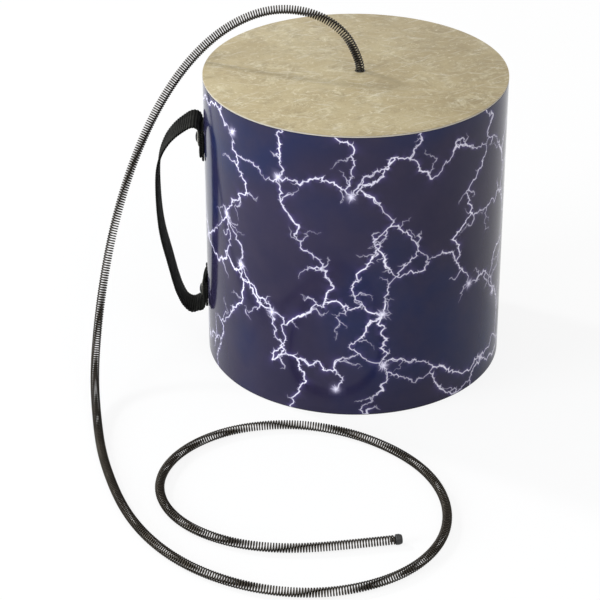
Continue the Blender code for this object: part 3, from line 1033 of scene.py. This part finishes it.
def fibreStrands(tree, place, grain, colour):
    # pale strands that lie level in the pressed wood fibre
    long = addNode(tree, "Mapping", {"Vector": place, "Scale": (40.0, 40.0, 900.0)})
    strands = noisy(tree, long.outputs[0], 1.0, 4.0, 0.65)
    colour = layered(tree, colour,
                     (remapped(tree, strands, 0.55, 0.8), 0.55, (0.055, 0.046, 0.036)))
    return colour, calculated(tree, "MULTIPLY_ADD", strands, 0.5, grain["Height"])


def makeFilmMaterial():
    # khaki film with a mottle, pale fibres, fine creases and dark specks
    material, tree = newMaterial("mottledHeadFilm")
    place = objectPlace(tree)
    warp = addNode(tree, "TexNoise", {"Vector": place, "Scale": 14.0, "Detail": 3.0})
    bent = addNode(tree, "VectorMath", {0: warp.outputs["Color"], 3: 0.02},
                   operation="SCALE").outputs[0]
    moved = addNode(tree, "VectorMath", {0: place, 1: bent}, operation="ADD").outputs[0]
    blotch = noisy(tree, moved, 46.0, 5.0, 0.68)
    pale = noisy(tree, moved, 46.0, 7.0, 0.78, 0.6)
    fleck = noisy(tree, moved, 190.0, 4.0, 0.75, 0.4)
    speck = noisy(tree, place, 420.0, 3.0, 0.7)
    marks = useGroup(tree, scratchGroup, Place=moved, Length=36.0, Fineness=420.0)
    ground = ramped(tree, noisy(tree, moved, 11.0, 4.0, 0.6),
                    ((0.30, (0.325, 0.258, 0.140)), (0.52, (0.418, 0.342, 0.196)),
                     (0.72, (0.500, 0.428, 0.262))))
    colour = layered(tree, ground, (remapped(tree, blotch, 0.48, 0.68), 0.6, (0.262, 0.205, 0.105)),
                     (remapped(tree, pale, 0.52, 0.66), 0.7, (0.62, 0.555, 0.375)),
                     (remapped(tree, fleck, 0.57, 0.68), 0.6, (0.70, 0.64, 0.46)),
                     (marks["Marks"], 0.42, (0.66, 0.62, 0.50)),
                     (remapped(tree, speck, 0.54, 0.74), 0.5, (0.25, 0.195, 0.11)))
    height = calculated(tree, "MULTIPLY_ADD", blotch, 0.6, speck)
    return feed(material, baseColor=colour, roughness=remapped(tree, blotch, 0.3, 0.7, 0.62, 0.46),
                specularIorLevel=0.35, normal=bumped(tree, height, 0.18, 0.0004))


def makeShell(settings):
    shellLow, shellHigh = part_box("shell")
    outside = (shellHigh.x - shellLow.x) / 2
    inside = outside - settings["wall"]
    low, high = settings["bottomRound"], settings["topRound"]
    base, top = shellLow.z, shellHigh.z
    profile = [(outside, base + low), (outside, top - high), (outside - high, top),
               (inside + high, top), (inside, top - high), (inside, base + low),
               (inside + 0.3 * low, base + 0.3 * low), (inside + low, base), (outside - low, base),
               (outside - 0.3 * low, base + 0.3 * low)]
    fibre = grainyMaterial("blackFibre", (600.0, 35.0),
                           ((0.010, 0.010, 0.011), (0.032, 0.030, 0.028)), (0.75, 0.5),
                           (0.35, 0.0002), fibreStrands)
    addTurned(profile, settings["sides"], drumAxis, "fibreShell", "drum", "fibre", fibre, "shell")


def makeHead(settings):
    edge, centre = settings["edgeRound"], settings["centre"]
    base, top = (corner.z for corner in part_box("head_film"))
    profile = [(centre, base), (drumRadius, base), (drumRadius, top - edge),
               (drumRadius - 0.3 * edge, top - 0.3 * edge), (drumRadius - edge, top), (centre, top)]
    film = placed(turnedPiece(profile, settings["sides"], closed=False), drumAxis)
    cutAway(film, addCylinder(64, settings["holeRadius"], 0.01, (holePlace.x, holePlace.y, top)))
    finished(smoothShaded(film, 50), "headFilm", "drum", "film", makeFilmMaterial(), "head_film")

    inside = drumRadius - settings["hoopWidth"]
    base, top = (corner.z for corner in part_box("head_hoop"))
    profile = [(drumRadius, base + edge), (drumRadius, top - edge), (drumRadius - edge, top),
               (inside, top), (inside, base), (drumRadius - edge, base)]
    pale = grainyMaterial("paleFibreHoop", (900.0, 60.0),
                          ((0.38, 0.345, 0.285), (0.53, 0.49, 0.42)), (0.7, 0.5), (0.2, 0.0001))
    addTurned(profile, settings["sides"], drumAxis, "headHoop", "drum", "hoop", pale, "head_hoop")


print("Shell and head")
makeShell(shellSettings)
makeHead(headSettings)


# Handle: one ribbed strap, sewn double at its ends

strapSettings = {
    "width": 0.038,
    "thickness": 0.0026,
    "ribPitch": 0.0028,
    "ribDepth": 0.00055,
    "rowsPerRib": 6,
    "curl": 0.0003,  # how far the long edges stand up from the middle
    "waver": 0.00018,  # and how far they stray sideways
    # places across the strap from its middle to its edge, and the thickness left there
    "across": (0.12, 0.4, 0.7, 0.95, 0.985, 1.0),
    "body": ((0.95, 0.985, 1.0), (1.0, 0.88, 0.5)),
    # in millimetres: the layers' distance from the drum and the box that the loop fills
    "outerLayer": 4.05,
    "innerLayer": 1.55,
    "loopOut": (5.1, 43.8),
    "loopUp": (41.2, 213.8),
    # the sewn ends, from top to bottom: out from the outer layer's place, and up
    "upperEnd": ((0.0, 220.6), (0.0, 228.0), (0.0, 236.0), (0.0, 243.0), (0.4, 248.6), (2.3, 253.2)),
    "lowerEnd": ((2.2, 45.2), (0.3, 49.2), (0.0, 53.4), (0.0, 59.6), (0.0, 67.0), (0.0, 74.9)),
    # shares of the strap's length: how far it is pressed round the drum, and by how many
    # metres its near edge stands above its far edge
    "pressed": ((0.0, 0.075, 0.14, 0.86, 0.925, 1.0), (1.0, 1.0, 0.0, 0.0, 1.0, 1.0)),
    "lean": ((0.0, 0.05, 0.10, 0.17, 0.28, 0.72, 0.84, 0.90, 1.0),
             (0.0, 0.0, -0.002, -0.002, 0.0, 0.0, 0.004, 0.0, 0.0)),
    "blend": (0.0054, 0.0150),  # metres out from the drum: where the loop starts to swing
    # each tail's ends in millimetres, how far it is pressed, and its taper
    "tails": (("upperStrapTail", 216.6, 249.5, ((0.0, 1.0), (1.0, 1.0))),
              ("lowerStrapTail", 80.6, 49.0, ((0.0, 0.11, 0.16, 1.0), (-0.4, -0.2, 1.0, 1.0)))),
    "taper": ((0.0, 0.02, 0.06, 1.0), (0.6, 0.9, 1.0, 1.0)),
    "stitchRows": (0.2238, 0.2476, 0.0478, 0.0716),
    "stitchesPerRow": 8,
    "stitchStep": 0.0036,
    "stitchSunk": 0.00008,
    "thread": 0.00035,
}

# The loop's middle line: share of the reach, share of the height, from top to bottom
loopShares = (
    (0.112, 1.0000), (0.297, 0.9841), (0.486, 0.9546), (0.699, 0.9069), (0.863, 0.8471),
    (0.961, 0.7783), (0.995, 0.7072), (1.000, 0.6310), (0.989, 0.5458), (0.954, 0.4518),
    (0.890, 0.3686), (0.804, 0.2905), (0.717, 0.2086), (0.612, 0.1179), (0.500, 0.0529),
    (0.368, 0.0131), (0.237, 0.0020), (0.132, 0.0110),
)


def drumSink(y):
    # how far the drum's round falls back beside its left side's middle line
    return drumRadius - np.sqrt(drumRadius ** 2 - y ** 2)


def sweptStrap(name, line, settings, pressed, taper=((0.0,), (1.0,)), lean=((0.0,), (0.0,))):
    # line holds (out, up) in metres
    half, thick = settings["width"] / 2, settings["thickness"] / 2
    length = reached(line)[-1]
    count = int(length / (settings["ribPitch"] / settings["rowsPerRib"])) + 1
    path = smoothCurve(line, count)
    face = leftOf(np.gradient(path, axis=0))
    along = np.linspace(0, length, count)
    rib = np.abs(np.sin(math.pi * along / settings["ribPitch"])) ** 0.8
    notch = settings["ribDepth"] * (rib - 1)
    waver = sum(np.sin(along * speed + start) for speed, start in ((190, 0), (83, 1), (411, 2)))
    press, narrow, tilt = (np.interp(along / length, *table) for table in (pressed, taper, lean))
    across = np.concatenate((-np.array(settings["across"])[::-1], settings["across"]))
    rows = []
    for sign in (1, -1):
        for share in across[::sign]:
            stray = (notch + settings["waver"] * waver) * (abs(share) > 0.95)
            y = share * half + math.copysign(1, share) * stray
            body = np.interp(abs(share), *settings["body"])
            height = (sign * (thick + notch) * body * narrow
                      + settings["curl"] * (2 * share ** 2 - 1) * (1 - press))
            out = path[:, 0] + height * face[:, 0] - drumSink(y) * press
            up = path[:, 1] + height * face[:, 1] - 0.5 * share * tilt
            rows.append(np.column_stack((surfaceX - out, y, up)))
    strap = meshPiece(name, np.stack(rows, axis=1).reshape(-1, 3), ringedFaces(count, len(rows)))
    width = np.concatenate((across, across[::-1])) * half / millimetre
    pointValues(strap, alongStrap=np.repeat(along / millimetre, len(rows)),
                acrossStrap=np.tile(width, count))
    editWhole(strap)
    bpy.ops.mesh.normals_make_consistent(inside=False)
    bpy.ops.object.mode_set(mode="OBJECT")
    return smoothShaded(strap, 60)


def webbingWeaveAndHighlight(tree, place, grain, colour):
    # warp threads run along the strap, and the ribs' tops are painted a little paler, a painted
    # highlight on the crests
    pitch = strapSettings["ribPitch"] / millimetre
    waves = [calculated(tree, "MULTIPLY", attributeValue(tree, name), pace) for name, pace in
             (("acrossStrap", 2 * math.pi / 0.9), ("alongStrap", math.pi / pitch))]
    warp, rib = (calculated(tree, "SINE", wave) for wave in waves)
    thread = calculated(tree, "MULTIPLY_ADD", warp, 0.25, calculated(tree, "ABSOLUTE", rib))
    # painted highlight: the ribs' crests and the warp threads get a paler grey
    crestHighlight = calculated(tree, "MULTIPLY_ADD", grain["Mask"], 0.5, thread)
    colour = layered(tree, colour, (remapped(tree, crestHighlight, 0.95, 1.4), 0.8, (0.036, 0.036, 0.030)))
    return colour, calculated(tree, "MULTIPLY_ADD", grain["Height"], 0.4, thread)


def makeStrap(settings):
    # its weave layer paints the rib crests paler as a painted highlight
    webbing = grainyMaterial("ribbedNylon", (2600.0, 90.0),
                             ((0.0010, 0.0010, 0.0009), (0.003, 0.003, 0.0026)), (0.82, 0.6),
                             (0.6, 0.0003), webbingWeaveAndHighlight, specularIorLevel=0.08)
    (outStart, reach), (upStart, rise) = settings["loopOut"], settings["loopUp"]
    upper, lower = ([(settings["outerLayer"] + out, up) for out, up in settings[end]]
                    for end in ("upperEnd", "lowerEnd"))
    line = upper + [(outStart + out * reach, upStart + up * rise) for out, up in loopShares] + lower
    strap = sweptStrap("handleStrap", np.array(line) * millimetre, settings, settings["pressed"],
                       lean=settings["lean"])
    finished(strap, "handleStrap", None, "webbing", webbing,
             "handle_strap", "strap_upper_tab", "strap_lower_tab")
    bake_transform(strap)
    for name, first, last, press in settings["tails"]:
        layer = np.column_stack((np.full(8, settings["innerLayer"]), np.linspace(first, last, 8)))
        tail = sweptStrap(name, layer * millimetre, settings, press, settings["taper"])
        finished(tail, name, "drum", "webbing", webbing)


def makeStitches(settings):
    # two short rows of thread on each sewn end, modelled once and copied
    pickNothing()
    bpy.ops.mesh.primitive_uv_sphere_add(segments=8, ring_count=6, radius=settings["thread"])
    stitch = bpy.context.object
    editWhole(stitch)
    bpy.ops.transform.resize(value=(1.0, 3.6, 1.0), center_override=(0, 0, 0))
    bpy.ops.object.mode_set(mode="OBJECT")
    bpy.ops.object.shade_smooth()
    out = settings["outerLayer"] * millimetre + settings["thickness"] / 2 - settings["stitchSunk"]
    count = settings["stitchesPerRow"]
    copies = []
    for height in settings["stitchRows"]:
        for y in (np.arange(count) - (count - 1) / 2) * settings["stitchStep"]:
            place = (surfaceX - out + drumSink(y), y, height)
            copies.append(placed(copied(stitch), place, (0, 0, -y / drumRadius)))
    bpy.data.objects.remove(stitch)
    pick(*copies)
    bpy.ops.object.join()
    thread = grainyMaterial("stitchThread", (3000.0, 400.0),
                            ((0.012, 0.012, 0.012), (0.05, 0.048, 0.045)), (0.7, 0.45))
    finished(copies[0], "strapStitches", "drum", "webbing", thread)


print("Handle")
makeStrap(strapSettings)
makeStitches(strapSettings)


# Screws, washers, nuts, and the plug and washer that hold the spring under the head

fastenerSettings = {
    # metres out from the drum's side
    "cupBottom": 0.0056,
    "cupTop": 0.0070,
    "headBottom": 0.0073,
    "headTop": 0.0091,
    "headRadius": 0.0055,
    "shank": 0.0025,
    "threadPitch": 0.0008,
    "threadDepth": 0.00035,
    "recess": (0.0046, 0.0010, 0.0026),
    "nutRadius": 0.008 / math.sqrt(3),
    "nutHole": 0.0030,
    "washerHole": 0.0031,
    "washerRadius": 0.009,
    "sides": 48,
}


def makeMetal(name, dark, pale, roughness):
    def scratched(tree, place, grain, colour):
        marks = useGroup(tree, scratchGroup, Place=place, Length=160.0, Fineness=3200.0)
        bright = [min(1.0, 1.5 * part) for part in pale]
        return layered(tree, colour, (marks["Marks"], 0.3, bright)), grain["Height"]

    return grainyMaterial(name, (1500.0, 120.0), (dark, pale), (roughness + 0.1, roughness - 0.06),
                          (0.08, 0.0001), scratched, metallic=1.0)


def makeCupWasher(settings):
    low, high = settings["cupBottom"], settings["cupTop"]
    profile = [(0.0100, low), (0.0100, low + 0.0002), (0.0098, low + 0.0004),
               (0.0090, low + 0.00066), (0.0080, high - 0.0004), (0.0070, high - 0.00012),
               (0.0063, high), (0.0058, high - 0.0001), (0.0055, high - 0.0004),
               (0.0042, low + 0.0005), (0.0031, low + 0.0003), (0.0031, low)]
    return turnedPiece(profile, settings["sides"])


def makeScrew(settings, tail):
    # a low domed head with a cross recess, and a threaded shank down to the tail
    low, high, shank = settings["headBottom"], settings["headTop"], settings["shank"]
    head, pitch = settings["headRadius"], settings["threadPitch"]
    profile = [(0.0012, high)]
    for turn in (math.radians(angle) for angle in (30, 50, 66, 80)):
        profile.append((head * math.sin(turn), low + (high - low) * math.cos(turn)))
    profile += [(head, low + 0.0001), (head - 0.0001, low), (shank, low)]
    place = low - 0.0006
    while place > tail + 2 * pitch:
        profile += [(shank, place), (shank - settings["threadDepth"], place - pitch / 2)]
        place -= pitch
    profile += [(shank - 0.0003, tail + 0.0004), (shank - 0.0008, tail)]
    screw = turnedPiece(profile, 32, closed=False)
    for turn in (0, math.pi / 2):
        pickNothing()
        bpy.ops.mesh.primitive_cube_add(size=1, location=(0, 0, high + 0.0002))
        slot = bpy.context.object
        slot.scale = settings["recess"]
        slot.rotation_euler = (0, 0, turn)
        bpy.ops.object.transform_apply(location=False, rotation=True, scale=True)
        cutAway(screw, slot)
    return screw


def makeNut(settings, low, high):
    # a hexagon with eased edges and a bored hole
    middle = (0, 0, (low + high) / 2)
    nut = addCylinder(6, settings["nutRadius"], high - low, middle)
    bpy.ops.object.transform_apply(location=True, rotation=True, scale=True)
    bevel = nut.modifiers.new("Edges", "BEVEL")
    bevel.width = 0.00025
    bevel.segments = 2
    bevel.limit_method = "ANGLE"
    bevel.angle_limit = math.radians(30)
    applyModifiers(nut)
    cutAway(nut, addCylinder(32, settings["nutHole"], 0.02, middle))
    return nut


def plateProfile(hole, radius, low, high, ease):
    # a flat ring with eased edges
    return [(radius, low + ease), (radius, high - ease), (radius - ease, high), (hole + ease, high),
            (hole, high - ease), (hole, low + ease), (hole + ease, low), (radius - ease, low)]


def makeFasteners(settings, blackZinc):
    nickel = makeMetal("brightNickel", (0.20, 0.20, 0.16), (0.42, 0.41, 0.35), 0.28)
    outward = {}
    for node in ("screw", "inner_washer", "nut"):
        low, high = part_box("upper_" + node)
        outward[node] = (surfaceX - high.x, surfaceX - low.x)
    washer = plateProfile(settings["washerHole"], settings["washerRadius"],
                          *outward["inner_washer"], 0.0001)
    models = (("CupWasher", "_cup_washer", makeCupWasher(settings), nickel, "nickel"),
              ("Screw", "_screw", makeScrew(settings, outward["screw"][0]), blackZinc, "steel"),
              ("InnerWasher", "_inner_washer", turnedPiece(washer, settings["sides"]), blackZinc,
               "steel"),
              ("Nut", "_nut", makeNut(settings, *outward["nut"]), blackZinc, "steel"))
    for label, node, model, material, slotName in models:
        for level in ("upper", "lower"):
            low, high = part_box(level + node)
            piece = placed(copied(model), (surfaceX, 0.0, (low.z + high.z) / 2),
                           (0.0, -math.pi / 2, 0.0))
            finished(smoothShaded(piece), level + label, "drum", slotName, material, level + node)
        bpy.data.objects.remove(model)


anchorSettings = {
    "washerRadius": 0.0150,
    "patchRadius": 0.0250,
    "flangeRadius": 0.0090,
    "flange": 0.003,
    "stemRadius": 0.0020,
}


def makeAnchor(settings, steel):
    # the patch under the film, the washer under it, and the plug that turns in the washer
    hole = headSettings["holeRadius"]
    profile = plateProfile(hole, settings["washerRadius"], washerLow.z, washerHigh.z, 0.0002)
    addTurned(profile, 64, holePlace, "anchorWasher", "drum", "steel", steel, "anchor_washer")

    low, high = (corner.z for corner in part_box("head_patch"))
    radius = settings["patchRadius"]
    profile = [(radius - 0.0001, low), (radius, low + 0.0001), (radius, high - 0.0001),
               (radius - 0.0001, high), (hole, high), (hole, low)]
    patch = grainyMaterial("filmPatch", (800.0, 70.0), ((0.22, 0.19, 0.13), (0.36, 0.32, 0.24)),
                           (0.8, 0.55), (0.25, 0.0002))
    addTurned(profile, 96, holePlace, "headPatch", "drum", "patch", patch, "head_patch")

    base, top = (corner.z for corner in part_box("anchor_plug"))
    seat, radius, stem = base + settings["flange"], settings["flangeRadius"], settings["stemRadius"]
    profile = [(stem - 0.0008, top), (stem, top - 0.0003), (stem, seat), (radius - 0.0002, seat),
               (radius, seat - 0.0002), (radius, base + 0.0004), (radius - 0.0004, base),
               (0.0030, base), (0.0024, base + 0.0005), (0.0010, base + 0.0005)]
    addTurned(profile, 48, holePlace, "anchorPlug", "spring", "steel", steel, "anchor_plug",
              closed=False)


print("Fasteners")
blackZinc = makeMetal("blackZinc", (0.05, 0.05, 0.052), (0.14, 0.14, 0.14), 0.36)
makeFasteners(fastenerSettings, blackZinc)
makeAnchor(anchorSettings, blackZinc)


# Floor, world and lamps

studioSettings = {
    "floorSize": 14.0,
    "worldSoft": 0.58,
    "floorGlow": 0.85,
    "mirroredGlow": 0.3,  # in glossy and transmission rays, which also see the floor as lit
    "aim": (0.0, 0.0, 0.15),
    # direction, distance, size, energy and colour
    "keyLamp": ((-1.328, 0.769, 1.0), 6.0, 0.69, 152.0, (1.0, 1.0, 1.0)),
    "fillLamp": ((0.5, -1.0, 1.3), 2.8, 1.6, 13.0, (1.0, 1.0, 1.0)),
    "sideLamp": ((-1.0, -0.5, 0.3), 4.8, 2.8, 195.0, (0.90, 0.95, 1.0)),
}


def shownRays(tree, camera=1.0, mirrored=1.0):
    # camera, glossy and transmission rays see the white surroundings
    path = addNode(tree, "LightPath").outputs
    bent = calculated(tree, "MAXIMUM", path["Is Glossy Ray"], path["Is Transmission Ray"])
    seen = calculated(tree, "MULTIPLY", path["Is Camera Ray"], camera)
    return calculated(tree, "MULTIPLY_ADD", bent, mirrored, seen)


def mixedShaders(tree, share, first, second, output):
    mix = addNode(tree, "MixShader", {0: share, 1: first.outputs[0], 2: second.outputs[0]})
    addNode(tree, output, {"Surface": mix.outputs[0]})


def makeFloor(settings):
    pickNothing()
    bpy.ops.mesh.primitive_plane_add(size=settings["floorSize"], location=(0, 0, 0))
    floor = bpy.context.object
    floor.name = "studioFloor"
    material, tree = newMaterial("paleFloor")
    tree.nodes.clear()
    grain = noisy(tree, objectPlace(tree), 3.0, 2.0, 0.5)
    pale = mixedColour(tree, grain, (0.90, 0.90, 0.90), (0.93, 0.93, 0.93))
    matt = addNode(tree, "BsdfDiffuse", {"Color": pale})
    glow = addNode(tree, "Emission", {"Color": (1, 1, 1, 1), "Strength": 1.0})
    mixedShaders(tree, shownRays(tree, settings["floorGlow"], settings["mirroredGlow"]), matt, glow,
                 "OutputMaterial")
    floor.data.materials.append(material)


def makeWorld(settings):
    world = bpy.data.worlds.new("studioWorld")
    world.use_nodes = True
    tree = world.node_tree
    tree.nodes.clear()
    soft, white = (addNode(tree, "Background", {"Color": (1, 1, 1, 1), "Strength": strength})
                   for strength in (settings["worldSoft"], 1.0))
    mixedShaders(tree, shownRays(tree), soft, white, "OutputWorld")
    bpy.context.scene.world = world


def makeLamps(settings):
    for name in ("keyLamp", "fillLamp", "sideLamp"):
        direction, distance, size, energy, colour = settings[name]
        data = bpy.data.lights.new(name, "AREA")
        data.shape = "DISK"
        data.size = size
        data.energy = energy
        data.color = colour
        way = Vector(direction).normalized()
        lamp = newObject(name, data)
        lamp.location = Vector(settings["aim"]) + way * distance
        lamp.rotation_euler = way.to_track_quat("Z", "Y").to_euler()


print("Studio")
makeFloor(studioSettings)
makeWorld(studioSettings)
makeLamps(studioSettings)
bpy.context.scene.view_settings.view_transform = "Standard"

pickNothing()
